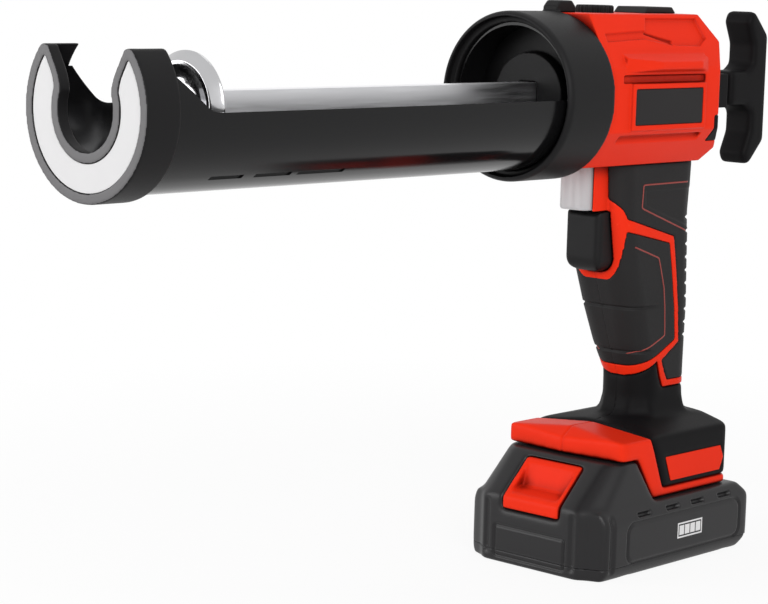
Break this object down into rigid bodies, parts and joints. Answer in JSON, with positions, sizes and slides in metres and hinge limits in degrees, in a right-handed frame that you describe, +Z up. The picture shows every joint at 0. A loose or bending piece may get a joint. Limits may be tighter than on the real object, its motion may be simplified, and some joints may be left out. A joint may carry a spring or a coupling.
{
  "type": "cordless caulking tool",
  "caption": "Cordless caulking tool with an open cartridge trough and slotted nose, racked push rod with pull handle, trigger grip and a slide-on battery foot.",
  "frame": {"origin": "middle of the battery's underside, which the tool stands on", "axes": "+X back along the barrel from nose to pull handle, +Y to the tool's right, +Z up"},
  "size_m": [0.422, 0.0788, 0.2568],
  "materials": {
    "red_plastic": "satin moulded",
    "black_plastic": "fine matt grain",
    "black_rubber": "soft matt overmould",
    "black_tube": "gloss black coat",
    "rod_steel": "drawn bar",
    "chrome_plate": "mirror",
    "silver_button": "brushed",
    "bright_face": "gloss",
    "label_black": "gloss",
    "screw_steel": "plated",
    "gear_steel": "cut",
    "frame_metal": "stamped",
    "motor_steel": "plated",
    "board_green": "lacquer",
    "cell_wrap": "film wrapped",
    "spring_steel": "wire"
  },
  "bodies": {
    "tool": {"left_housing": "red_plastic", "right_housing": "red_plastic", "left_front_grip": "black_rubber", "right_front_grip": "black_rubber", "left_rear_grip": "black_rubber", "right_rear_grip": "black_rubber", "rear_bumper": "black_rubber", "left_label_plate": "label_black", "right_label_plate": "label_black", "top_pad": "black_rubber", "rear_guide": "black_plastic", "housing_screws": "screw_steel", "collar": "black_plastic", "front_guide": "black_plastic", "cartridge_trough": "black_tube", "nose_cap": "black_plastic", "nose_face_plate": "bright_face", "gear_frame": "frame_metal", "motor_can": "motor_steel", "trigger_switch": "black_plastic", "control_board": "board_green", "battery_shoe": "red_plastic", "terminal_block": "black_plastic", "left_foot_cover": "black_plastic", "right_foot_cover": "black_plastic", "left_foot_inlay": "red_plastic", "right_foot_inlay": "red_plastic"},
    "rod": {"push_rod": "rod_steel", "piston_plate": "chrome_plate", "piston_screw": "screw_steel", "pull_handle": "black_plastic", "handle_pin": "screw_steel"},
    "drive": {"drive_shaft": "gear_steel", "drive_gear": "gear_steel"},
    "idler": {"idler_gear": "gear_steel"},
    "rotor": {"motor_shaft": "gear_steel"},
    "trigger": {"trigger": "black_plastic", "trigger_spring": "spring_steel"},
    "release": {"release_button": "silver_button", "button_spring": "spring_steel"},
    "dial": {"speed_dial": "black_plastic"},
    "battery": {"battery_base": "black_plastic", "battery_case": "black_plastic", "battery_cells": "cell_wrap", "battery_board": "board_green", "battery_screws": "screw_steel"},
    "latch": {"battery_latch": "red_plastic", "latch_spring": "spring_steel"}
  },
  "joints": [
    {"name": "rod_slide", "type": "slide", "parent": "tool", "child": "rod", "axis": [1, 0, 0], "range_m": [0, 0.19]},
    {"name": "drive_spin", "type": "hinge", "parent": "tool", "child": "drive", "pos_m": [-0.012, 0, 0.203], "axis": [0, 1, 0], "range_deg": [-5, 1588.4]},
    {"name": "idler_spin", "type": "hinge", "parent": "tool", "child": "idler", "pos_m": [-0.007, 0, 0.22414], "axis": [0, 1, 0], "range_deg": [-2696.9, 5]},
    {"name": "rotor_spin", "type": "hinge", "parent": "tool", "child": "rotor", "pos_m": [-0.003, 0, 0.23643], "axis": [0, 1, 0], "range_deg": [-5, 4491.4]},
    {"name": "trigger_pull", "type": "slide", "parent": "tool", "child": "trigger", "axis": [1, 0, 0], "range_m": [0, 0.006], "stiffness_N_per_m": 600, "springref_m": -0.004, "deforming": ["trigger_spring"]},
    {"name": "release_press", "type": "slide", "parent": "tool", "child": "release", "axis": [1, 0, 0], "range_m": [0, 0.003], "stiffness_N_per_m": 800, "springref_m": -0.003, "deforming": ["button_spring"]},
    {"name": "dial_turn", "type": "hinge", "parent": "tool", "child": "dial", "pos_m": [-0.019, 0, 0.25], "axis": [0, 0, 1], "range_deg": [0, 270]},
    {"name": "battery_slide", "type": "slide", "parent": "tool", "child": "battery", "axis": [-1, 0, 0], "range_m": [0, 0.095]},
    {"name": "latch_press", "type": "slide", "parent": "battery", "child": "latch", "axis": [1, 0, 0], "range_m": [0, 0.004], "stiffness_N_per_m": 1500, "springref_m": -0.003, "deforming": ["latch_spring"]}
  ],
  "couplings": [
    {"joint": "drive_spin", "follows": "rod_slide", "rad_per_m": 145.45},
    {"joint": "idler_spin", "follows": "rod_slide", "rad_per_m": -247.27},
    {"joint": "rotor_spin", "follows": "rod_slide", "rad_per_m": 412.12}
  ]
}
